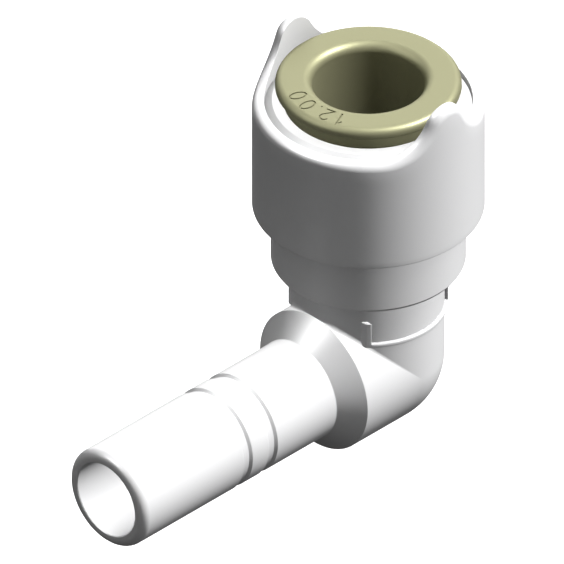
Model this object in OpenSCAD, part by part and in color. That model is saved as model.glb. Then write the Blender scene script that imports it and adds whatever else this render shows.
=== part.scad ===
// Push-fit stem elbow for 12 mm tube, in millimetres.
// Frame: the origin is on the stem's axis, in the plane of the shoulder where the
// stem leaves the elbow. +X runs out along the stem and +Z up out of the socket.

/* [Tube] */
// Outside diameter of the tube that the socket takes, and of the stem
tube_d = 12; // [10.5:0.1:14]

/* [Stem] */
// Length of the stem from its shoulder to its tip
stem_l = 30.4; // [26:0.2:40]
// Wall of the stem
stem_wall = 1.5; // [1:0.1:2.2]
// Radius of the rounding round the stem's tip
stem_tip_r = 1; // [0.3:0.1:1.1]
// Chamfer inside the stem's mouth
stem_mouth_chamfer = 0.1; // [0.05:0.05:0.4]
// Width of each grip groove in the stem's surface
groove_w = 1.45; // [1:0.05:1.8]
// Depth of each grip groove, whose walls slant at 45 degrees
groove_depth = 0.3; // [0.2:0.05:0.4]
// Distance from the shoulder to the first groove
groove_x = 9.25; // [6:0.25:12]
// Distance from one groove to the next
groove_pitch = 3.95; // [3:0.05:5]

/* [Elbow] */
// Wall of the elbow round the tube's guide bore
elbow_wall = 2.35; // [1.6:0.05:2.6]
// Distance from the socket's axis to the stem's shoulder
shoulder_x = 11; // [10.5:0.1:14]
// Length of the cone between the elbow's leg and the stem
cone_l = 2.4; // [1.6:0.1:3]
// Height of the shoulder that stops the tube, above the stem's axis
tube_stop_z = 8; // [6:0.5:10]

/* [Side frames] */
// Width of the raised frame on each side of the barrel
frame_w = 13.1; // [11:0.1:14]
// Height of the frame's foot above the stem's axis
frame_z = 6.3; // [5.6:0.1:7]
// Length of the frame along the barrel
frame_l = 3.3; // [2:0.1:4]
// Width of the frame's upright ribs
frame_rib_w = 0.55; // [0.4:0.05:1]
// Width of the frame's bottom rib
frame_foot_w = 0.5; // [0.4:0.05:1]
// How far the frame stands out of the barrel
frame_h = 0.42; // [0.3:0.02:0.8]

/* [Socket] */
// Height of the socket ring's underside above the stem's axis
socket_z = 12.5; // [11.5:0.1:13]
// Wall of the socket ring round the collet's legs
socket_wall = 1.75; // [1.2:0.05:2.4]
// Radial size of the chamfer under the socket ring
socket_edge = 0.25; // [0.1:0.05:0.5]
// Height of that chamfer
socket_edge_h = 0.38; // [0.2:0.02:0.6]
// Length of the bore that guides the tube's end
guide_l = 6.6; // [6:0.1:8]
// Radial play between the tube and its guide bore
guide_play = 0.15; // [0.1:0.05:0.3]
// Depth of the bore that takes the spacer and the collet's legs
leg_seat_l = 5.45; // [5.2:0.05:5.9]

/* [Seal and spacer] */
// Thickness of the seal's round section
seal_section = 2.4; // [2:0.1:2.8]
// How far the seal reaches inside the tube's surface
seal_squeeze = 0.2; // [0.1:0.05:0.4]
// Thickness of the spacer ring over the seal
spacer_h = 3.9; // [3:0.1:4.2]

/* [Collet] */
// Radial play between the tube and the collet's bore
collet_play = 0.3; // [0.2:0.02:0.4]
// Wall of the collet's neck
neck_wall = 3.125; // [2.9:0.025:3.6]
// How far the neck goes into the cap
neck_in = 3.4; // [2:0.1:4]
// Thickness of the flange
flange_h = 1.23; // [1.1:0.01:1.5]
// How far the flange stands out beyond the neck
flange_lip = 1; // [0.6:0.05:1.1]
// Rounding of the flange's outer edge
flange_round = 0.84; // [0.4:0.02:0.9]
// Rounding of the bore's mouth
mouth_round = 1.09; // [0.5:0.01:1.2]
// How far the legs lie inside the neck's surface
leg_inset = 0.575; // [0.4:0.025:0.7]
// Thickness of the legs
leg_wall = 1.4; // [1:0.05:1.7]
// Length of the legs' slits
slit_l = 4.1; // [3.6:0.1:4.4]
// Width of each slit between two legs
slit_w = 1.2; // [0.8:0.1:1.6]
// How far the heads that hold the collet in the cap stand out beyond the neck
head_catch = 0.775; // [0.5:0.025:0.9]
// Height of the heads' straight part
head_h = 1.2; // [0.8:0.1:1.4]
// How far the collet can be pushed in to free the tube
release_travel = 1.7; // [1.2:0.1:2]

/* [Cap] */
// Height of the cap above the socket ring
cap_h = 11.5; // [11:0.1:13]
// Wall of the cap's skirt round the socket ring
skirt_wall = 0.65; // [0.4:0.05:1]
// Radial size of the slope round the cap's top
cap_slope = 0.85; // [0.5:0.05:1]
// Height of that slope
cap_slope_h = 0.74; // [0.4:0.02:1]

/* [Collar] */
// Wall of the collar round the cap
collar_wall = 1.35; // [1.2:0.05:2]
// Height of the collar between its ears
collar_h = 14; // [13:0.1:15]
// Thickness of the lip inside the collar's foot
collar_lip_h = 0.8; // [0.6:0.05:1.2]
// Rounding of the collar's outer top edge
collar_round = 0.95; // [0.6:0.05:1.15]
// Height of the ears above the rim
ear_h = 5.15; // [2:0.05:6]
// Radius of an ear's round top
ear_dome_r = 2.6; // [2:0.1:4]
// Radius of the hollow on each side of an ear, where it runs into the rim
ear_foot_r = 6.3; // [4:0.1:8]

/* [Teeth] */
// Width of a steel tooth
tooth_w = 2.4; // [1.6:0.1:2.6]
// Height of a tooth's slanted strip, measured along the socket's axis
tooth_h = 0.35; // [0.25:0.05:0.5]
// Radial gap between a tooth's tip and the tube
tooth_gap = 0.12; // [0.1:0.02:0.25]
// How much higher a tooth's root lies than its tip
tooth_lean = 1.4; // [1:0.1:1.5]

/* [Fits] */
// Radial clearance of the collet's neck in the cap
running_gap = 0.08; // [0.04:0.01:0.1]
// Radial gap between two pieces that are fixed together
fixed_gap = 0.05; // [0.02:0.01:0.08]
// Gap round the collet's legs and heads
free_gap = 0.15; // [0.1:0.01:0.2]

/* [Hidden] */
$fn = 96;

tooth_count = 8;
overshoot = 1;
small_overshoot = 0.01;

// Radii, from the tube outwards
tube_r = tube_d / 2;
stem_r = tube_r;
waterway_r = stem_r - stem_wall;
guide_r = tube_r + guide_play;
elbow_r = guide_r + elbow_wall;
bore_r = tube_r + collet_play;
neck_r = bore_r + neck_wall;
leg_r = neck_r - leg_inset;
leg_bore_r = leg_r - leg_wall;
leg_seat_r = leg_r + 2 * free_gap;
head_r = neck_r + head_catch;
flange_r = neck_r + flange_lip;
socket_r = leg_seat_r + socket_wall;
cap_bore_r = neck_r + running_gap;
head_seat_r = head_r + free_gap;
skirt_r = socket_r + fixed_gap;
cap_r = skirt_r + skirt_wall;
collar_bore_r = cap_r + fixed_gap;
collar_r = collar_bore_r + collar_wall;
seal_in_r = tube_r - seal_squeeze;
seal_centre_r = seal_in_r + seal_section / 2;
seal_seat_r = seal_in_r + seal_section + fixed_gap;

// Heights in the socket, from the tube's stop upwards
seal_floor_z = tube_stop_z + guide_l;
spacer_z = seal_floor_z + seal_section + fixed_gap;
socket_top_z = spacer_z + leg_seat_l;
foot_gap = 0.25;
foot_z = spacer_z + spacer_h + release_travel + foot_gap;
head_foot = 0.8;
head_foot_past_seat = head_foot * (head_r - leg_seat_r) / (head_r - leg_r);
head_gap = 0.25;
head_z = socket_top_z + release_travel + head_gap + head_foot_past_seat;
head_top_z = head_z + head_h;
head_slope = 1.7;
head_cone_h = (head_r - leg_r) * head_slope;
slit_top_z = foot_z + slit_l;
relief_over_slit = 0.4;
relief_top_z = slit_top_z + relief_over_slit;
seat_gap = 0.2;
seat_cone_z = head_top_z - free_gap * head_slope + seat_gap;
seat_cone_h = (head_seat_r - cap_bore_r) * head_slope;
cap_top_z = socket_top_z + cap_h;
neck_z = cap_top_z - neck_in;
flange_gap = 0.07;
flange_z = cap_top_z + release_travel + flange_gap;
flange_top_z = flange_z + flange_h;
collar_top_z = cap_top_z;
collar_z = collar_top_z - collar_h;
skirt_z = collar_z + collar_lip_h + fixed_gap;

// Teeth
tooth_cover = 0.25;
tooth_drop = 0.5;
tooth_tip_r = tube_r + tooth_gap;
tooth_root_r = leg_r - tooth_cover;
tooth_tip_z = head_z - tooth_drop;
tooth_root_z = tooth_tip_z + tooth_lean;

// Facets of the collar round the socket's axis and over its rounding
collar_steps = 144;
round_steps = 5;

// An ear's outline, seen along Y: an arc over the top that runs into a hollow arc on
// each side
ear_lean = acos(1 - ear_h / (ear_dome_r + ear_foot_r));
ear_top_half_w = ear_dome_r * sin(ear_lean);
ear_half_w = (ear_dome_r + ear_foot_r) * sin(ear_lean);

module at_socket() {
    translate([-shoulder_x, 0, 0]) children();
}

// Turns children so that their Z axis lies along the stem
module along_stem() {
    rotate([0, 90, 0]) children();
}

// Corner of a profile outside its rounding. x and y are the corner, and sx and sy
// say on which side of it the material lies.
module corner_waste(x, y, sx, sy, r) {
    difference() {
        translate([min(x, x + sx * r), min(y, y + sy * r)]) square(r);
        translate([x + sx * r, y + sy * r]) circle(r = r);
    }
}

module groove(x) {
    polygon([
        [stem_r + overshoot, x],
        [stem_r, x],
        [stem_r - groove_depth, x + groove_depth],
        [stem_r - groove_depth, x + groove_w - groove_depth],
        [stem_r, x + groove_w],
        [stem_r + overshoot, x + groove_w]
    ]);
}

// Stem, solid, with its rounded tip and two grip grooves
module stem_solid() {
    along_stem() rotate_extrude() difference() {
        translate([0, -cone_l]) square([stem_r, stem_l + cone_l]);
        corner_waste(stem_r, stem_l, -1, -1, stem_tip_r);
        for (i = [0, 1]) groove(groove_x + i * groove_pitch);
    }
}

// Two legs of one diameter that meet round a ball, and the cone to the stem
module elbow_solid() {
    leg_l = shoulder_x - cone_l;
    at_socket() {
        sphere(r = elbow_r);
        cylinder(r = elbow_r, h = socket_z + overshoot);
        along_stem() cylinder(r = elbow_r, h = leg_l);
        along_stem() translate([0, 0, leg_l]) cylinder(r1 = elbow_r, r2 = stem_r, h = cone_l);
    }
}

// Raised U on both sides of the barrel, open at its top
module frames_solid() {
    reach = elbow_r + frame_h;
    at_socket() intersection() {
        translate([0, 0, frame_z]) cylinder(r = reach, h = frame_l);
        union() {
            for (x = [-frame_w / 2, frame_w / 2 - frame_rib_w])
                translate([x, -reach, frame_z]) cube([frame_rib_w, 2 * reach, frame_l]);
            translate([-frame_w / 2, -reach, frame_z]) cube([frame_w, 2 * reach, frame_foot_w]);
        }
    }
}

module socket_solid() {
    at_socket() rotate_extrude() polygon([
        [0, socket_z],
        [socket_r - socket_edge, socket_z],
        [socket_r, socket_z + socket_edge_h],
        [socket_r, socket_top_z],
        [0, socket_top_z]
    ]);
}

// Everything hollow in the body: waterway, tube guide, seal seat and leg seat
module body_hollow() {
    at_socket() {
        sphere(r = waterway_r);
        cylinder(r = waterway_r, h = tube_stop_z + overshoot);
        translate([0, 0, tube_stop_z]) cylinder(r = guide_r, h = seal_floor_z - tube_stop_z + overshoot);
        translate([0, 0, seal_floor_z]) cylinder(r = seal_seat_r, h = spacer_z - seal_floor_z);
        translate([0, 0, spacer_z]) cylinder(r = leg_seat_r, h = socket_top_z - spacer_z + overshoot);
    }
    translate([-shoulder_x, 0, 0]) along_stem() cylinder(r = waterway_r, h = shoulder_x + stem_l + overshoot);
    chamfer = stem_mouth_chamfer + small_overshoot;
    translate([stem_l - stem_mouth_chamfer, 0, 0]) along_stem()
        cylinder(r1 = waterway_r, r2 = waterway_r + chamfer, h = chamfer);
}

module body() {
    color("white") difference() {
        union() {
            stem_solid();
            elbow_solid();
            frames_solid();
            socket_solid();
        }
        body_hollow();
    }
}

// Rubber ring that seals on the tube, resting on its floor in the socket
module seal() {
    color("#1c1c1e") at_socket() translate([0, 0, seal_floor_z + seal_section / 2])
        rotate_extrude() translate([seal_centre_r, 0]) circle(r = seal_section / 2);
}

// Ring that keeps the collet's legs off the seal
module spacer() {
    color("gainsboro") at_socket() translate([0, 0, spacer_z]) difference() {
        cylinder(r = leg_seat_r - fixed_gap, h = spacer_h);
        translate([0, 0, -overshoot]) cylinder(r = guide_r + fixed_gap, h = spacer_h + 2 * overshoot);
    }
}

// White ring inside the collar: it stands on the socket ring, wraps its rim and
// holds the collet's heads under a cone
module cap() {
    color("white") at_socket() rotate_extrude() polygon([
        [cap_bore_r, cap_top_z],
        [cap_r - cap_slope, cap_top_z],
        [cap_r, cap_top_z - cap_slope_h],
        [cap_r, skirt_z],
        [skirt_r, skirt_z],
        [skirt_r, socket_top_z],
        [head_seat_r, socket_top_z],
        [head_seat_r, seat_cone_z],
        [cap_bore_r, seat_cone_z + seat_cone_h]
    ]);
}

// Angle of a place on the collar from the middle of the nearer ear, then the rim's
// slope and rise at a distance u along X from that middle
function from_ear(angle) = (angle + 360) % 180 - 90;
function rim_lean(u) = asin(max(0, min(abs(u) / ear_dome_r, (ear_half_w - abs(u)) / ear_foot_r)));
function rim_rise(u) = let (lean = rim_lean(u)) abs(u) < ear_top_half_w
    ? ear_h - ear_dome_r * (1 - cos(lean))
    : ear_foot_r * (1 - cos(lean));

// Section of the collar at an angle: up the outside, over the rounding, down the inside
// and round the lip at its foot. The rounding leans with the rim, so that it keeps its
// size up an ear's side.
function collar_section(angle) = let (
    turn = from_ear(angle),
    ear = angle - turn
) concat(
    [on_ring(collar_r, angle, collar_z)],
    [for (i = [0 : round_steps]) let (
        a = 90 * i / round_steps,
        down = collar_round * (1 - sin(a)),
        r = collar_r - collar_round * (1 - cos(a)),
        u = r * sin(turn),
        lean = rim_lean(u),
        back = sign(u) * down * sin(lean)
    ) on_ring(r, ear + asin((u - back) / r), collar_top_z + rim_rise(u) - down * cos(lean))],
    [
        on_ring(collar_bore_r, angle, collar_top_z + rim_rise(collar_bore_r * sin(turn))),
        on_ring(collar_bore_r, angle, collar_z + collar_lip_h),
        on_ring(skirt_r, angle, collar_z + collar_lip_h),
        on_ring(skirt_r, angle, collar_z)
    ]
);
function on_ring(r, angle, z) = [r * cos(angle), r * sin(angle), z];

// Outer ring with two ears that guard the collet against knocks: its section is swept
// round the socket, and its rim rises into each ear
module collar() {
    sections = [for (i = [0 : collar_steps - 1]) collar_section(i * 360 / collar_steps)];
    n = len(sections[0]);
    points = [for (s = sections) each s];
    faces = [for (i = [0 : collar_steps - 1]) for (j = [0 : n - 1])
        let (k = (i + 1) % collar_steps, m = (j + 1) % n)
            each [[i * n + j, i * n + m, k * n + m], [i * n + j, k * n + m, k * n + j]]];
    color("white") at_socket() polyhedron(points = points, faces = faces, convexity = 6);
}

// Section of the collet, before the slits
module collet_section() {
    difference() {
        polygon([
            [bore_r, flange_top_z],
            [flange_r, flange_top_z],
            [flange_r, flange_z],
            [neck_r, flange_z],
            [neck_r, neck_z],
            [leg_r, neck_z - (neck_r - leg_r)],
            [leg_r, head_top_z + head_cone_h],
            [head_r, head_top_z],
            [head_r, head_z],
            [leg_r, head_z - head_foot],
            [leg_r, foot_z],
            [leg_bore_r, foot_z],
            [leg_bore_r, relief_top_z - (leg_bore_r - bore_r)],
            [bore_r, relief_top_z]
        ]);
        corner_waste(flange_r, flange_top_z, -1, -1, flange_round);
        corner_waste(bore_r, flange_top_z, 1, -1, mouth_round);
    }
}

module tooth_shape() {
    rotate([90, 0, 0]) translate([0, 0, -tooth_w / 2]) linear_extrude(height = tooth_w) polygon([
        [tooth_tip_r, tooth_tip_z],
        [tooth_root_r, tooth_root_z],
        [tooth_root_r, tooth_root_z + tooth_h],
        [tooth_tip_r, tooth_tip_z + tooth_h]
    ]);
}

// Places children in leg number i, counted from 1
module in_leg(i) {
    rotate([0, 0, (i - 1) * 360 / tooth_count]) children();
}

module collet() {
    color("#bcb993") at_socket() difference() {
        rotate_extrude() collet_section();
        for (i = [1 : tooth_count]) {
            in_leg(i + 0.5) translate([0, -slit_w / 2, foot_z - overshoot])
                cube([head_r + overshoot, slit_w, slit_top_z - foot_z + overshoot]);
            in_leg(i) tooth_shape();
        }
    }
}

// Steel tooth in leg number i: it leans into the tube and down towards the stop
module tooth(i) {
    color("silver") at_socket() in_leg(i) tooth_shape();
}

body();
seal();
spacer();
cap();
collar();
collet();
for (i = [1 : tooth_count]) tooth(i);
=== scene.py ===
"""Looks of a push-fit stem elbow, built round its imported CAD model."""
import math

import bmesh
import bpy
from mathutils import Matrix, Vector


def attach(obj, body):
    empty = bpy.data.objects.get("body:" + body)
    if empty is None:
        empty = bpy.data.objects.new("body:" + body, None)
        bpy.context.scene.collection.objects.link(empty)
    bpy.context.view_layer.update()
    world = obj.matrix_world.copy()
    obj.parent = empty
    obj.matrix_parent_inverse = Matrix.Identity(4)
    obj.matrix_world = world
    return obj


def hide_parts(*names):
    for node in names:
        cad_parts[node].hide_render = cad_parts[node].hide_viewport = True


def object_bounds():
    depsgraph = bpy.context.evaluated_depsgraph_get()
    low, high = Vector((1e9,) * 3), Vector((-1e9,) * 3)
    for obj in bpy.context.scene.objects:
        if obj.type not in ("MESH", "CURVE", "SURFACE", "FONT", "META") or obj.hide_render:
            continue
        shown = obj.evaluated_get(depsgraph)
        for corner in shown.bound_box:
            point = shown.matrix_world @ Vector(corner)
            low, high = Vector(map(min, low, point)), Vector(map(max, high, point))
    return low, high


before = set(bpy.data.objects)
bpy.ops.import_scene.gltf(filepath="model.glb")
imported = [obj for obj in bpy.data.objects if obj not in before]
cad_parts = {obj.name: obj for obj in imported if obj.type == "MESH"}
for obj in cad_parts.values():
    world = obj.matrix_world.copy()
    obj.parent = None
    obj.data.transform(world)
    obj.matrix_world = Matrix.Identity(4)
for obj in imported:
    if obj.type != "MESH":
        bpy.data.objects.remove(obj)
cad_box = [list(corner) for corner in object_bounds()]
scene = bpy.context.scene

# Sizes in millimetres, as in the CAD model. Heights are above the stem's axis, and
# distances along the stem are from the socket's axis.
MM = 0.001
SOCKET_X = -11.0
ROUND_STEPS = 192

# Stem
STEM_R = 6.0
WATERWAY_R = 4.5
STEM_TIP = 41.4
STEM_TIP_ROUND = 1.0
MOUTH_CHAMFER = 0.1
GROOVE_W = 1.45
GROOVE_DEPTH = 0.3
GROOVES_AT = (20.25, 24.2)

# Elbow
ELBOW_R = 8.5
LEG_END = 8.6
SHOULDER = 11.0
CREASE_FILLET = 0.6
WATERWAY_FILLET = 0.3
BEND_STEPS = 18
BARREL_FOOT_Z = 9.7
WATERWAY_BEND = 5.2
REACH_GAP = 0.01

# Raised frame on each side of the barrel
FRAME_HALF_W = 6.55
FRAME_Z = 6.3
FRAME_TOP_Z = 9.6
FRAME_RIB_W = 0.55
FRAME_FOOT_W = 0.5
FRAME_H = 0.42
FRAME_ROOT = -0.3
FRAME_ROUND = 0.12
FRAME_STEPS = 48

# Socket and what lies in it
SOCKET_Z = 12.5
SOCKET_R = 10.9
SOCKET_EDGE_W = 0.25
SOCKET_EDGE_H = 0.38
SOCKET_TOP_Z = 22.5
GUIDE_R = 6.15
TUBE_STOP_Z = 8.0
SEAL_FLOOR_Z = 14.6
SEAL_SEAT_R = 8.25
SEAL_R = 1.2
SEAL_CENTRE_R = 7.0
SEAL_STEPS = 32
SPACER_Z = 17.05
SPACER_TOP_Z = 20.95
LEG_SEAT_R = 9.15
RING_GAP = 0.05

# Cap
CAP_R = 11.6
CAP_BORE_R = 9.505
CAP_TOP_Z = 34.0
CAP_SLOPE_W = 0.85
CAP_SLOPE_H = 0.74
SKIRT_Z = 20.85
SKIRT_R = 10.95
HEAD_SEAT_R = 10.35
HEAD_SEAT_DROP = 0.055

# Collar
COLLAR_R = 13.0
COLLAR_BORE_R = 11.65
COLLAR_Z = 20.0
COLLAR_LIP_H = 0.8
COLLAR_ROUND = 0.95
COLLAR_BORE_ROUND = 0.05
COLLAR_STEPS = 384
COLLAR_WALLS = 8
EAR_H = 5.15
EAR_DOME_R = 2.6
EAR_FOOT_R = 6.3

# Collet
BORE_R = 6.3
MOUTH_ROUND = 1.09
NECK_R = 9.425
FLANGE_R = 10.425
FLANGE_Z = 35.77
FLANGE_TOP_Z = 37.0
FLANGE_ROUND = 0.84
NECK_Z = 30.6
LEG_R = 8.85
LEG_BORE_R = 7.45
FOOT_Z = 22.9
RELIEF_TOP_Z = 27.4
SLIT_TOP_Z = 27.0
SLIT_W = 1.2
SLIT_START_R = 3
SLIT_PAST = 1
LEGS = 8
HEAD_R = 10.2
HEAD_Z = 25.072
HEAD_H = 1.2
HEAD_FOOT = 0.8
HEAD_SLOPE = 1.7

# Teeth
TOOTH_TIP_R = 6.12
TOOTH_ROOT_R = 8.6
TOOTH_W = 2.4
TOOTH_H = 0.35
TOOTH_DROP = 0.5
TOOTH_LEAN = 1.4
TOOTH_EDGE = 0.04
POCKET_GAP = 0.01

# Engraved figures, and the angle of each from the camera's side
FIGURES = (("1", 21), ("2", 33), (".", 42.5), ("0", 52), ("0", 66))
FIGURE_H = 2.0
FIGURE_R = 8.6
STROKE_W = 0.2
STROKE_DEPTH = 0.2
STROKE_PAST = 0.3

# Camera: the turn it looks from, where it aims, across and above the socket's axis,
# and how wide it sees
CAMERA_TURN = 45
AIM_RIGHT = -9.632
AIM_UP = 7.391
VIEW_W = 62.876
CAMERA_OFF = 400


# Camera: an exact isometric view, the same distance to all three axes
def make_camera():
    right = Vector((-1, 1, 0)).normalized()
    up = Vector((-1, -1, 2)).normalized()
    back = Vector((1, 1, 1)).normalized()
    target = (Vector((SOCKET_X, 0, 0)) + AIM_RIGHT * right + AIM_UP * up) * MM
    data = bpy.data.cameras.new("camera")
    data.type = "ORTHO"
    data.ortho_scale = VIEW_W * MM
    data.clip_start = 0.01
    data.clip_end = 10
    camera = bpy.data.objects.new("camera", data)
    turn = Matrix((right, up, back)).transposed().to_4x4()
    camera.matrix_world = Matrix.Translation(target + back * CAMERA_OFF * MM) @ turn
    scene.collection.objects.link(camera)
    scene.camera = camera


make_camera()


# Node graphs
class Number:
    """A socket that carries a number. Arithmetic with it adds Math nodes."""

    def __init__(self, graph, socket):
        self.graph = graph
        self.socket = socket

    def __add__(self, other):
        return self.graph.sum("ADD", self, other)

    def __mul__(self, other):
        return self.graph.sum("MULTIPLY", self, other)

    def __sub__(self, other):
        return self.graph.sum("SUBTRACT", self, other)

    def __rsub__(self, other):
        return self.graph.sum("SUBTRACT", other, self)

    def __truediv__(self, other):
        return self.graph.sum("DIVIDE", self, other)

    __radd__ = __add__
    __rmul__ = __mul__


class Graph:
    """A node tree that grows by one node a call."""

    def __init__(self, tree):
        self.tree = tree

    def node(self, kind, settings=None, sockets=None):
        made = self.tree.nodes.new(kind)
        for name, value in (settings or {}).items():
            setattr(made, name, value)
        for name, value in (sockets or {}).items():
            self.feed(made.inputs[name], value)
        return made

    def feed(self, socket, value):
        if isinstance(value, Number):
            value = value.socket
        if isinstance(value, bpy.types.NodeSocket):
            self.tree.links.new(value, socket)
        else:
            socket.default_value = value

    def sum(self, operation, *values):
        made = self.node("ShaderNodeMath", {"operation": operation}, dict(enumerate(values)))
        return Number(self, made.outputs[0])


# Finishes
def new_material(name):
    material = bpy.data.materials.new(name)
    material.use_nodes = True
    material.node_tree.nodes.clear()
    return material, Graph(material.node_tree)


def noise(graph, place, scale, detail=3.0):
    made = graph.node(
        "ShaderNodeTexNoise", sockets={"Vector": place, "Scale": scale, "Detail": detail}
    )
    return Number(graph, made.outputs[0])


def moulded_plastic(name, colour, shade, roughness, grain=0.000004, **finish):
    """Moulded plastic: faint flow clouding, a roughness that drifts and a fine skin.
    The finish names further sockets of the shader."""
    material, graph = new_material(name)
    place = graph.node("ShaderNodeTexCoord").outputs["Object"]
    flow = noise(graph, place, 220)
    skin = noise(graph, place, 5200, 2.0)
    tone = graph.node(
        "ShaderNodeMix",
        {"data_type": "RGBA"},
        {0: flow, 6: (*colour, 1), 7: (*shade, 1)},
    ).outputs[2]
    bump = graph.node(
        "ShaderNodeBump", sockets={"Strength": 0.5, "Distance": grain, "Height": skin}
    ).outputs[0]
    shader = graph.node(
        "ShaderNodeBsdfPrincipled",
        sockets={
            "Base Color": tone,
            "Roughness": roughness + (flow - 0.5) * 0.12 + (skin - 0.5) * 0.06,
            "Normal": bump,
            **finish,
        },
    )
    graph.node("ShaderNodeOutputMaterial", sockets={"Surface": shader.outputs[0]})
    return material


def sheared_steel(name):
    """Spring steel: bright, with fine rolling lines along the strip."""
    material, graph = new_material(name)
    place = graph.node("ShaderNodeTexCoord").outputs["Object"]
    drawn = graph.node(
        "ShaderNodeMapping", sockets={"Vector": place, "Scale": (1, 1, 12)}
    ).outputs[0]
    lines = noise(graph, drawn, 2600, 4.0)
    tone = graph.node(
        "ShaderNodeMix",
        {"data_type": "RGBA"},
        {0: lines, 6: (0.55, 0.55, 0.54, 1), 7: (0.72, 0.72, 0.71, 1)},
    ).outputs[2]
    bump = graph.node(
        "ShaderNodeBump", sockets={"Strength": 0.4, "Distance": 0.000004, "Height": lines}
    ).outputs[0]
    shader = graph.node(
        "ShaderNodeBsdfPrincipled",
        sockets={
            "Base Color": tone,
            "Metallic": 1.0,
            "Roughness": 0.22 + lines * 0.16,
            "Normal": bump,
        },
    )
    graph.node("ShaderNodeOutputMaterial", sockets={"Surface": shader.outputs[0]})
    return material


WHITE = (0.86, 0.86, 0.865)
WHITE_SHADE = (0.835, 0.835, 0.842)
SATIN = {"Specular IOR Level": 0.9}
white_body = moulded_plastic("white body plastic", WHITE, WHITE_SHADE, 0.42, **SATIN)
white_cap = moulded_plastic("white cap plastic", WHITE, WHITE_SHADE, 0.42, **SATIN)
white_collar = moulded_plastic("white collar plastic", WHITE, WHITE_SHADE, 0.4, **SATIN)
OLIVE_SHEEN = {"IOR": 2.1, "Specular IOR Level": 1.0, "Specular Tint": (1, 1, 0.605, 1)}
olive_collet = moulded_plastic(
    "olive collet plastic", (0.2, 0.195, 0.12), (0.191, 0.186, 0.114), 0.5, **OLIVE_SHEEN
)
grey_spacer = moulded_plastic("grey spacer plastic", (0.7, 0.7, 0.7), (0.66, 0.66, 0.66), 0.5)
black_rubber = moulded_plastic(
    "greased black rubber", (0.02, 0.02, 0.022), (0.028, 0.028, 0.03), 0.38, 0.00001
)
tooth_steel = sheared_steel("sheared tooth steel")


# Sections and rings
def rounded(corners, closed):
    """Points of a section, from corners (r, z) or (r, z, rounding)."""
    points = []
    count = len(corners)
    for i, corner in enumerate(corners):
        here = Vector(corner[:2])
        size = corner[2] if len(corner) > 2 else 0
        if not size or (not closed and i in (0, count - 1)):
            points.append(here)
            continue
        before = (Vector(corners[i - 1][:2]) - here).normalized()
        after = (Vector(corners[(i + 1) % count][:2]) - here).normalized()
        half = before.angle(after) / 2
        setback = size / math.tan(half)
        centre = here + (before + after).normalized() * size / math.sin(half)
        start = here + before * setback - centre
        end = here + after * setback - centre
        sweep = start.angle(end)
        steps = max(2, math.ceil(math.degrees(sweep) / 15))
        for k in range(steps + 1):
            part = k / steps
            blend = start * math.sin((1 - part) * sweep) + end * math.sin(part * sweep)
            points.append(centre + blend / math.sin(sweep))
    return points


def ring_angles(steps=ROUND_STEPS):
    return [2 * math.pi * (k + 0.5) / steps for k in range(steps)]


def upright_ring(r, z, steps=ROUND_STEPS):
    """Ring round the socket's axis; its first point lies on the side away from the stem."""
    return [(SOCKET_X - r * math.cos(a), r * math.sin(a), z) for a in ring_angles(steps)]


def stem_ring(r, x):
    """Ring round the stem's axis; its first point lies underneath."""
    return [(SOCKET_X + x, r * math.sin(a), -r * math.cos(a)) for a in ring_angles()]


def bend_ring(r, part, fillet, reach):
    """Ring in the bend: the outside runs over a ball, the inside over a filleted crease
    whose fillet ends just before reach along the stem."""
    turn = math.pi / 2 * part
    points = []
    for a in ring_angles():
        out = r * math.cos(a)
        if out > 0:
            x = -out * math.cos(turn)
            z = -out * math.sin(turn)
        else:
            crease = math.acos(math.sin(a) ** 2)
            size = fillet * math.tan(crease / 2)
            x = -out + min(size, reach - REACH_GAP + out) * (1 - math.cos(turn))
            z = -out + size * (1 - math.sin(turn))
        points.append((SOCKET_X + x, r * math.sin(a), z))
    return points


def mesh_object(name, points, faces):
    mesh = bpy.data.meshes.new(name)
    mesh.from_pydata([[value * MM for value in p] for p in points], [], faces)
    piece = bpy.data.objects.new(name, mesh)
    scene.collection.objects.link(piece)
    return piece


def skin_rings(name, rings):
    """A closed shell through closed rings, the last joined to the first."""
    n = len(rings[0])
    faces = []
    for i in range(len(rings)):
        j = (i + 1) % len(rings)
        faces += [
            (i * n + k, i * n + (k + 1) % n, j * n + (k + 1) % n, j * n + k) for k in range(n)
        ]
    piece = mesh_object(name, [p for ring in rings for p in ring], faces)
    face_outwards(piece)
    return piece


def face_outwards(piece):
    work = bmesh.new()
    work.from_mesh(piece.data)
    bmesh.ops.remove_doubles(work, verts=work.verts, dist=1e-8)
    bmesh.ops.recalc_face_normals(work, faces=work.faces)
    work.to_mesh(piece.data)
    work.free()


def turned(name, corners):
    """A ring-shaped piece turned round the socket's axis from a closed section."""
    return skin_rings(name, [upright_ring(p.x, p.y) for p in rounded(corners, True)])


def settle(piece):
    """Turns a piece's live modifiers into its plain mesh."""
    done = bpy.data.meshes.new_from_object(
        piece.evaluated_get(bpy.context.evaluated_depsgraph_get())
    )
    piece.modifiers.clear()
    piece.data = done


def shade(piece, sharp=40):
    """Smooth shading that keeps flat faces flat and breaks at sharp edges."""
    piece.data.shade_smooth()
    piece.data.set_sharp_from_angle(angle=math.radians(sharp))
    modifier = piece.modifiers.new("flat faces", "WEIGHTED_NORMAL")
    modifier.keep_sharp = True
    settle(piece)


def dress(piece, material, slot, body, *nodes):
    piece.data.materials.clear()
    piece.data.materials.append(material)
    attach(piece, body)
    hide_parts(*nodes)


def cut(piece, cutters):
    """Cuts closed tools out of a piece, one after another, and deletes them."""
    for cutter in cutters:
        modifier = piece.modifiers.new("cut", "BOOLEAN")
        modifier.operation = "DIFFERENCE"
        modifier.solver = "EXACT"
        modifier.object = cutter
        settle(piece)
        bpy.data.objects.remove(cutter)


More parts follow.
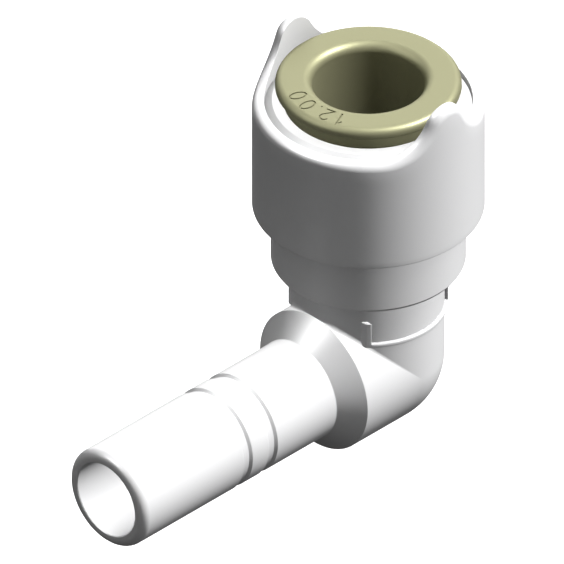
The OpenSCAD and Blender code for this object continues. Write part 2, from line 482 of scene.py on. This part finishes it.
# Body
def raised_frame(side):
    """U-shaped frame on one side of the barrel: laid out flat, bevelled, then wrapped."""
    xs = [-FRAME_HALF_W, -FRAME_HALF_W + FRAME_RIB_W]
    span = 2 * (FRAME_HALF_W - FRAME_RIB_W)
    xs += [xs[1] + span * k / FRAME_STEPS for k in range(1, FRAME_STEPS)]
    xs += [FRAME_HALF_W - FRAME_RIB_W, FRAME_HALF_W]
    zs = [FRAME_Z, FRAME_Z + FRAME_FOOT_W, FRAME_TOP_Z]
    work = bmesh.new()
    grid = {(i, j): work.verts.new((x, 0, z)) for i, x in enumerate(xs) for j, z in enumerate(zs)}
    last = len(xs) - 2
    for i in range(len(xs) - 1):
        for j in range(2):
            if j == 0 or i in (0, last):
                work.faces.new([grid[i, j], grid[i + 1, j], grid[i + 1, j + 1], grid[i, j + 1]])
    bmesh.ops.delete(work, geom=[v for v in work.verts if not v.link_faces], context="VERTS")
    front = work.faces[:]
    made = bmesh.ops.extrude_face_region(work, geom=front)["geom"]
    for v in [g for g in made if isinstance(g, bmesh.types.BMVert)]:
        v.co.y = FRAME_H
    for v in work.verts:
        if v.co.y < FRAME_H / 2:
            v.co.y = FRAME_ROOT
    bmesh.ops.recalc_face_normals(work, faces=work.faces)
    edges = [
        e
        for e in work.edges
        if e.calc_face_angle(0) > 1 and max(v.co.y for v in e.verts) > 0
    ]
    bmesh.ops.bevel(
        work, geom=edges, offset=FRAME_ROUND, segments=3, profile=0.5, affect="EDGES"
    )
    points = []
    for v in work.verts:
        radius = ELBOW_R + v.co.y
        y = side * math.sqrt(radius ** 2 - v.co.x ** 2)
        points.append((SOCKET_X + v.co.x, y, v.co.z))
    work.verts.index_update()
    faces = [[v.index for v in f.verts] for f in work.faces]
    work.free()
    piece = mesh_object("raised frame", points, faces)
    face_outwards(piece)
    return piece


def make_body():
    """The moulding in one skin: up the socket's outside, down its inside, round the
    bend, out along the waterway and back over the stem."""
    upright = rounded(
        [
            (ELBOW_R, BARREL_FOOT_Z),
            (ELBOW_R, SOCKET_Z, 0.2),
            (SOCKET_R - SOCKET_EDGE_W, SOCKET_Z, 0.06),
            (SOCKET_R, SOCKET_Z + SOCKET_EDGE_H, 0.08),
            (SOCKET_R, SOCKET_TOP_Z, 0.12),
            (LEG_SEAT_R, SOCKET_TOP_Z, 0.12),
            (LEG_SEAT_R, SPACER_Z, 0.05),
            (SEAL_SEAT_R, SPACER_Z, 0.05),
            (SEAL_SEAT_R, SEAL_FLOOR_Z, 0.15),
            (GUIDE_R, SEAL_FLOOR_Z, 0.2),
            (GUIDE_R, TUBE_STOP_Z, 0.1),
            (WATERWAY_R, TUBE_STOP_Z, 0.15),
            (WATERWAY_R, WATERWAY_BEND),
        ],
        False,
    )
    along = [(WATERWAY_R, WATERWAY_BEND), (WATERWAY_R, STEM_TIP - MOUTH_CHAMFER, 0.02)]
    along += [(WATERWAY_R + MOUTH_CHAMFER, STEM_TIP, 0.02), (STEM_R, STEM_TIP, STEM_TIP_ROUND)]
    for x in reversed(GROOVES_AT):
        floor_r = STEM_R - GROOVE_DEPTH
        along += [
            (STEM_R, x + GROOVE_W, 0.02),
            (floor_r, x + GROOVE_W - GROOVE_DEPTH, 0.04),
            (floor_r, x + GROOVE_DEPTH, 0.04),
            (STEM_R, x, 0.02),
        ]
    leg_x = LEG_END - 0.05
    along += [(STEM_R, SHOULDER, 0.2), (ELBOW_R, LEG_END, 0.08), (ELBOW_R, leg_x)]
    bends = [k / BEND_STEPS for k in range(BEND_STEPS + 1)]
    rings = [upright_ring(p.x, p.y) for p in upright]
    rings += [bend_ring(WATERWAY_R, k, WATERWAY_FILLET, WATERWAY_BEND) for k in bends]
    rings += [stem_ring(p.x, p.y) for p in rounded(along, False)]
    rings += [bend_ring(ELBOW_R, 1 - k, CREASE_FILLET, leg_x) for k in bends]
    body = skin_rings("body", rings)
    frames = [raised_frame(1), raised_frame(-1)]
    work = bmesh.new()
    for piece in [body, *frames]:
        work.from_mesh(piece.data)
    work.to_mesh(body.data)
    work.free()
    for piece in frames:
        bpy.data.objects.remove(piece)
    shade(body)
    dress(body, white_body, "body", "housing", "body")
    return body


# Rings inside the socket
def make_seal():
    points = []
    for k in range(SEAL_STEPS):
        turn = 2 * math.pi * k / SEAL_STEPS
        points.append(
            (SEAL_CENTRE_R + SEAL_R * math.cos(turn), SEAL_FLOOR_Z + SEAL_R * (1 + math.sin(turn)))
        )
    seal = turned("seal", points)
    shade(seal)
    dress(seal, black_rubber, "seal", "housing", "seal")


def make_spacer():
    outer = LEG_SEAT_R - RING_GAP
    inner = GUIDE_R + RING_GAP
    spacer = turned(
        "spacer",
        [
            (inner, SPACER_Z, 0.2),
            (outer, SPACER_Z, 0.2),
            (outer, SPACER_TOP_Z, 0.2),
            (inner, SPACER_TOP_Z, 0.4),
        ],
    )
    shade(spacer)
    dress(spacer, grey_spacer, "spacer", "housing", "spacer")


def make_cap():
    seat_z = HEAD_Z + HEAD_H - HEAD_SEAT_DROP
    seat_top = seat_z + (HEAD_SEAT_R - CAP_BORE_R) * HEAD_SLOPE
    cap = turned(
        "cap",
        [
            (CAP_BORE_R, CAP_TOP_Z, 0.06),
            (CAP_R - CAP_SLOPE_W, CAP_TOP_Z, 0.08),
            (CAP_R, CAP_TOP_Z - CAP_SLOPE_H, 0.06),
            (CAP_R, SKIRT_Z, 0.1),
            (SKIRT_R, SKIRT_Z, 0.1),
            (SKIRT_R, SOCKET_TOP_Z, 0.05),
            (HEAD_SEAT_R, SOCKET_TOP_Z, 0.1),
            (HEAD_SEAT_R, seat_z, 0.2),
            (CAP_BORE_R, seat_top, 0.2),
        ],
    )
    shade(cap)
    dress(cap, white_cap, "cap", "housing", "cap")
    return cap


# Collar
def ear_tree():
    """Raises a collar's rim into two ears. Seen along Y, an ear is an arc over the top that
    runs into a hollow arc on each side, and the rim's rounding leans with its slope."""
    tree = bpy.data.node_groups.new("collar ears", "GeometryNodeTree")
    graph = Graph(tree)
    new_socket = tree.interface.new_socket
    new_socket(name="Collar", in_out="INPUT", socket_type="NodeSocketGeometry")
    names = ("Ear height", "Dome radius", "Foot radius", "Axis")
    for name in names:
        new_socket(name=name, in_out="INPUT", socket_type="NodeSocketFloat")
    new_socket(name="Collar", in_out="OUTPUT", socket_type="NodeSocketGeometry")
    given = graph.node("NodeGroupInput").outputs
    height, dome, foot, axis = (Number(graph, given[name]) for name in names)
    lift, back = (
        Number(graph, graph.node(
            "GeometryNodeInputNamedAttribute", {"data_type": "FLOAT"}, {"Name": name}
        ).outputs[0])
        for name in ("lift", "back")
    )
    place = graph.node("GeometryNodeInputPosition").outputs[0]
    parts = graph.node("ShaderNodeSeparateXYZ", sockets={0: place}).outputs
    across = Number(graph, parts[0]) - axis
    outwards = Number(graph, parts[1])
    along = graph.sum("ABSOLUTE", across)
    steepest = graph.sum("ARCCOSINE", 1 - height / (dome + foot))
    half_width = (dome + foot) * graph.sum("SINE", steepest)
    slope = graph.sum("MINIMUM", along / dome, (half_width - along) / foot)
    lean = graph.sum("ARCSINE", graph.sum("MAXIMUM", slope, 0))
    drop = 1 - graph.sum("COSINE", lean)
    on_top = graph.sum("LESS_THAN", along, dome * graph.sum("SINE", steepest))
    rise = on_top * (height - dome * drop) + (1 - on_top) * foot * drop
    nearer = along - lift * back * graph.sum("SINE", lean)
    out = graph.sum("SQRT", across * across + outwards * outwards - nearer * nearer)
    moved = graph.node(
        "ShaderNodeCombineXYZ",
        sockets={
            0: axis + graph.sum("SIGN", across) * nearer,
            1: graph.sum("SIGN", outwards) * out,
            2: Number(graph, parts[2]) + lift * (rise + back * drop),
        },
    ).outputs[0]
    raised = graph.node(
        "GeometryNodeSetPosition", sockets={"Geometry": given["Collar"], "Position": moved}
    ).outputs[0]
    whole = graph.node("GeometryNodeRealizeInstances", sockets={"Geometry": raised}).outputs[0]
    coated = graph.node(
        "GeometryNodeSetMaterial", sockets={"Geometry": whole, "Material": white_collar}
    ).outputs[0]
    graph.node("NodeGroupOutput", sockets={"Collar": coated})
    return tree


def grow(piece, tree, **values):
    """Runs a piece through a Geometry Nodes tree with named inputs."""
    modifier = piece.modifiers.new(tree.name, "NODES")
    modifier.node_group = tree
    for item in tree.interface.items_tree:
        key = item.name.lower().replace(" ", "_")
        if item.in_out == "INPUT" and key in values:
            modifier[item.identifier] = values[key]
    settle(piece)


def make_collar():
    low = COLLAR_Z + COLLAR_LIP_H
    outer_top = CAP_TOP_Z - COLLAR_ROUND
    inner_top = CAP_TOP_Z - COLLAR_BORE_ROUND
    steps = [k / COLLAR_WALLS for k in range(COLLAR_WALLS)]
    section = rounded(
        [(COLLAR_R, COLLAR_Z, 0.12)]
        + [(COLLAR_R, low + (outer_top - low) * k) for k in steps]
        + [(COLLAR_R, CAP_TOP_Z, COLLAR_ROUND), (COLLAR_BORE_R, CAP_TOP_Z, COLLAR_BORE_ROUND)]
        + [(COLLAR_BORE_R, low + (inner_top - low) * k) for k in steps[:0:-1]]
        + [(COLLAR_BORE_R, low, 0.05), (SKIRT_R, low, 0.05), (SKIRT_R, COLLAR_Z, 0.12)],
        True,
    )
    collar = skin_rings("collar", [upright_ring(p.x, p.y, COLLAR_STEPS) for p in section])
    lift = collar.data.attributes.new("lift", "FLOAT", "POINT")
    back = collar.data.attributes.new("back", "FLOAT", "POINT")
    middle = (COLLAR_R + COLLAR_BORE_R) / 2
    for v in collar.data.vertices:
        z = v.co.z / MM
        outer = math.hypot(v.co.x / MM - SOCKET_X, v.co.y / MM) > middle
        top = outer_top if outer else inner_top
        lift.data[v.index].value = min(1.0, max(0.0, (z - low) / (top - low)))
        back.data[v.index].value = min(CAP_TOP_Z - z, CAP_TOP_Z - top) * MM
    grow(
        collar,
        ear_tree(),
        ear_height=EAR_H * MM,
        dome_radius=EAR_DOME_R * MM,
        foot_radius=EAR_FOOT_R * MM,
        axis=SOCKET_X * MM,
    )
    shade(collar)
    dress(collar, white_collar, "collar", "housing", "collar")
    return collar


# Collet
def about_socket(turn):
    """Place of something that lies along +X from the socket's axis, turned by turn degrees."""
    return Matrix.Translation((SOCKET_X, 0, 0)) @ Matrix.Rotation(math.radians(turn), 4, "Z")


def prism(name, outline, low, high, place, flat=lambda p, h: (p[0], p[1], h)):
    """Closed prism on a flat outline, between two heights."""
    n = len(outline)
    points = [place @ Vector(flat(p, low)) for p in outline]
    points += [place @ Vector(flat(p, high)) for p in outline]
    faces = [list(range(n - 1, -1, -1)), list(range(n, 2 * n))]
    faces += [[i, (i + 1) % n, n + (i + 1) % n, n + i] for i in range(n)]
    piece = mesh_object(name, points, faces)
    face_outwards(piece)
    return piece


def tooth_outline(grow_by=0.0):
    tip_z = HEAD_Z - TOOTH_DROP
    root_z = tip_z + TOOTH_LEAN
    return [
        (TOOTH_TIP_R - grow_by, tip_z - grow_by),
        (TOOTH_ROOT_R + grow_by, root_z - grow_by),
        (TOOTH_ROOT_R + grow_by, root_z + TOOTH_H + grow_by),
        (TOOTH_TIP_R - grow_by, tip_z + TOOTH_H + grow_by),
    ]


def arc(cx, cy, rx, ry, start, end, steps):
    turns = [math.radians(start + (end - start) * k / steps) for k in range(steps + 1)]
    return [(cx + rx * math.cos(t), cy + ry * math.sin(t)) for t in turns]


# Strokes of the engraved digits, in units of the digit's height
DOT_Y = -0.46
DIGITS = {
    "1": ([(-0.16, 0.24), (0.08, 0.5), (0.08, -0.5)], False),
    "2": (arc(0, 0.22, 0.26, 0.27, 165, -35, 10) + [(-0.27, -0.49), (0.29, -0.49)], False),
    "0": (arc(0, 0, 0.28, 0.49, 0, 345, 23), True),
}


def ribbon(line, closed, width):
    """Outline of a line drawn with a pen of that width: one side out, the other back."""
    count = len(line)
    sides = ([], [])
    for i, here in enumerate(line):
        before = line[i - 1] if closed or i else None
        after = line[(i + 1) % count] if closed or i < count - 1 else None
        into = (Vector(here) - Vector(before)).normalized() if before else None
        out = (Vector(after) - Vector(here)).normalized() if after else None
        into = into or out
        out = out or into
        along = (into + out).normalized()
        across = Vector((-along.y, along.x)) * width / 2 / max(0.35, along.dot(into))
        sides[0].append(Vector(here) + across)
        sides[1].append(Vector(here) - across)
    return sides


def engraving(digit, turn):
    """Closed tool that cuts one digit or a point into the flange's top, its head outwards."""
    # A digit reads clockwise seen from above, so its right is towards -Y here
    place = about_socket(turn)
    low = FLANGE_TOP_Z - STROKE_DEPTH
    high = FLANGE_TOP_Z + STROKE_PAST

    def flat(p, h):
        return (FIGURE_R + p[1], -p[0], h)

    if digit == ".":
        dot_r = 0.55 * STROKE_W
        dot = arc(0, DOT_Y * FIGURE_H, dot_r, dot_r, 0, 330, 11)
        return prism("dot", dot, low, high, place, flat)
    line, closed = DIGITS[digit]
    line = [(x * FIGURE_H, y * FIGURE_H) for x, y in line]
    left, right = ribbon(line, closed, STROKE_W)
    if not closed:
        return prism("digit", left + right[::-1], low, high, place, flat)
    n = len(left)
    both = left + right
    points = [place @ Vector(flat(p, h)) for h in (low, high) for p in both]
    faces = []
    for i in range(n):
        j = (i + 1) % n
        faces += [
            (i, j, n + j, n + i),
            (2 * n + i, 3 * n + i, 3 * n + j, 2 * n + j),
            (i, 2 * n + i, 2 * n + j, j),
            (n + i, n + j, 3 * n + j, 3 * n + i),
        ]
    piece = mesh_object("digit", points, faces)
    face_outwards(piece)
    return piece


def make_collet():
    head_top = HEAD_Z + HEAD_H
    collet = turned(
        "collet",
        [
            (BORE_R, FLANGE_TOP_Z, MOUTH_ROUND),
            (FLANGE_R, FLANGE_TOP_Z, FLANGE_ROUND),
            (FLANGE_R, FLANGE_Z, 0.2),
            (NECK_R, FLANGE_Z, 0.12),
            (NECK_R, NECK_Z, 0.1),
            (LEG_R, NECK_Z - (NECK_R - LEG_R), 0.2),
            (LEG_R, head_top + (HEAD_R - LEG_R) * HEAD_SLOPE, 0.3),
            (HEAD_R, head_top, 0.2),
            (HEAD_R, HEAD_Z, 0.2),
            (LEG_R, HEAD_Z - HEAD_FOOT, 0.3),
            (LEG_R, FOOT_Z, 0.3),
            (LEG_BORE_R, FOOT_Z, 0.3),
            (LEG_BORE_R, RELIEF_TOP_Z - (LEG_BORE_R - BORE_R), 0.2),
            (BORE_R, RELIEF_TOP_Z, 0.1),
        ],
    )
    tools = []
    for leg in range(LEGS):
        turn = 360 / LEGS * leg
        half = SLIT_W / 2
        near = SLIT_START_R
        far = HEAD_R + SLIT_PAST
        outline = [(near, -half), (far, -half), (far, half), (near, half)]
        slit_place = about_socket(turn + 180 / LEGS)
        tools.append(prism("slit", outline, FOOT_Z - SLIT_PAST, SLIT_TOP_Z, slit_place))
        tools.append(
            prism(
                "pocket",
                tooth_outline(POCKET_GAP),
                -TOOTH_W / 2 - POCKET_GAP,
                TOOTH_W / 2 + POCKET_GAP,
                about_socket(turn),
                lambda p, h: (p[0], h, p[1]),
            )
        )
    # Size in plain figures, on the front left of the flange as the camera sees it
    tools += [engraving(digit, CAMERA_TURN - turn) for digit, turn in FIGURES]
    cut(collet, tools)
    shade(collet, 35)
    dress(collet, olive_collet, "collet", "release_collet", "collet")
    return collet


# Teeth
def teeth_tree():
    """Sets one tooth in every leg of the collet."""
    tree = bpy.data.node_groups.new("teeth round the collet", "GeometryNodeTree")
    graph = Graph(tree)
    new_socket = tree.interface.new_socket
    new_socket(name="Tooth", in_out="INPUT", socket_type="NodeSocketGeometry")
    new_socket(name="Teeth", in_out="INPUT", socket_type="NodeSocketInt")
    new_socket(name="Axis", in_out="INPUT", socket_type="NodeSocketFloat")
    new_socket(name="Teeth", in_out="OUTPUT", socket_type="NodeSocketGeometry")
    given = graph.node("NodeGroupInput").outputs
    count = Number(graph, given["Teeth"])
    axis = graph.node("ShaderNodeCombineXYZ", sockets={0: given["Axis"]}).outputs[0]
    points = graph.node(
        "GeometryNodePoints", sockets={"Count": count, "Position": axis}
    ).outputs[0]
    index = Number(graph, graph.node("GeometryNodeInputIndex").outputs[0])
    turn = graph.node("ShaderNodeCombineXYZ", sockets={2: index * (2 * math.pi) / count}).outputs[0]
    placed = graph.node(
        "GeometryNodeInstanceOnPoints",
        sockets={"Points": points, "Instance": given["Tooth"], "Rotation": turn},
    ).outputs[0]
    whole = graph.node("GeometryNodeRealizeInstances", sockets={"Geometry": placed}).outputs[0]
    coated = graph.node(
        "GeometryNodeSetMaterial", sockets={"Geometry": whole, "Material": tooth_steel}
    ).outputs[0]
    graph.node("NodeGroupOutput", sockets={"Teeth": coated})
    return tree


def make_teeth():
    teeth = prism(
        "teeth",
        tooth_outline(),
        -TOOTH_W / 2,
        TOOTH_W / 2,
        Matrix.Identity(4),
        lambda p, h: (p[0], h, p[1]),
    )
    modifier = teeth.modifiers.new("sheared edges", "BEVEL")
    modifier.width = TOOTH_EDGE * MM
    modifier.segments = 2
    settle(teeth)
    grow(teeth, teeth_tree(), teeth=LEGS, axis=SOCKET_X * MM)
    shade(teeth)
    dress(teeth, tooth_steel, "tooth", "release_collet", *[f"tooth_{i}" for i in range(1, 9)])


body = make_body()
cap = make_cap()
collar = make_collar()
make_seal()
make_spacer()
collet = make_collet()
make_teeth()


# Floor and light
def make_floor():
    low = cad_box[0][2]
    side = 3
    corners = [(-side, -side, low), (side, -side, low), (side, side, low), (-side, side, low)]
    mesh = bpy.data.meshes.new("floor")
    mesh.from_pydata(corners, [], [(0, 1, 2, 3)])
    floor = bpy.data.objects.new("floor", mesh)
    scene.collection.objects.link(floor)
    material, graph = new_material("pale floor")
    place = graph.node("ShaderNodeTexCoord").outputs["Object"]
    cloud = noise(graph, place, 6)
    tone = graph.node(
        "ShaderNodeMix",
        {"data_type": "RGBA"},
        {0: cloud, 6: (0.8, 0.8, 0.8, 1), 7: (0.82, 0.82, 0.82, 1)},
    ).outputs[2]
    shader = graph.node(
        "ShaderNodeBsdfPrincipled",
        sockets={
            "Base Color": tone,
            "Roughness": 1.0,
            "Specular IOR Level": 0.0,
            "Emission Color": tone,
            "Emission Strength": 0.7,
        },
    )
    graph.node("ShaderNodeOutputMaterial", sockets={"Surface": shader.outputs[0]})
    mesh.materials.append(material)
    floor.visible_diffuse = False
    floor.visible_glossy = False


def sun(name, source, strength, spread, shadow=True):
    """A far soft light that shines from the direction source. Without its shadow it is
    an even wash that lights every face turned to it once."""
    data = bpy.data.lights.new(name, "SUN")
    data.energy = strength
    data.angle = math.radians(spread)
    data.use_shadow = shadow
    if not shadow:
        data.cycles.max_bounces = 0
    light = bpy.data.objects.new(name, data)
    light.rotation_euler = Vector(source).to_track_quat("Z", "Y").to_euler()
    light.location = Vector(source).normalized()
    scene.collection.objects.link(light)
    return light


def highlight(name, source, strength, spread, takers):
    """A light that adds only a highlight, and only to some pieces."""
    light = sun(name, source, strength, spread, shadow=False)
    light.visible_diffuse = False
    group = bpy.data.collections.new(name + " takers")
    for piece in takers:
        group.objects.link(piece)
    light.light_linking.receiver_collection = group


# Surrounding light: its mean, and how it grows along each axis
SURROUND = 0.17
SURROUND_GROWTH = (-0.087, 0.03, 0.165)


def make_light():
    key_from = (-0.41, 0.445, 0.796)
    sun("key wash", key_from, 4.2, 8, shadow=False)
    sun("key light", key_from, 0.3, 24)
    sun("overhead wash", (0, 0, 1), 0.3, 30, shadow=False)
    # Highlights from the left, a broad one and two narrow ones
    highlight("glow", (0.74, -0.4, 0.54), 1.1, 60, [body, cap, collet])
    highlight("glint", (0.74, -0.4, 0.54), 4, 10, [body, cap])
    highlight("rim glint", (0.48, -0.33, 0.82), 4, 10, [collar])
    sun("back fill", (-0.7, -0.75, 0.35), 0.8, 60)
    world = bpy.data.worlds.new("studio")
    scene.world = world
    world.use_nodes = True
    world.node_tree.nodes.clear()
    graph = Graph(world.node_tree)
    seen = Number(graph, graph.node("ShaderNodeLightPath").outputs["Is Camera Ray"])
    looked = graph.node("ShaderNodeTexCoord").outputs["Generated"]
    growth = graph.node(
        "ShaderNodeVectorMath", {"operation": "DOT_PRODUCT"}, {0: looked, 1: SURROUND_GROWTH}
    ).outputs["Value"]
    soft = graph.sum("MAXIMUM", SURROUND + Number(graph, growth), 0)
    back = graph.node(
        "ShaderNodeBackground",
        sockets={"Color": (1, 1, 1, 1), "Strength": soft * (1 - seen) + seen},
    )
    graph.node("ShaderNodeOutputWorld", sockets={"Surface": back.outputs[0]})
    scene.view_settings.view_transform = "Standard"
    scene.view_settings.look = "None"


make_floor()
make_light()
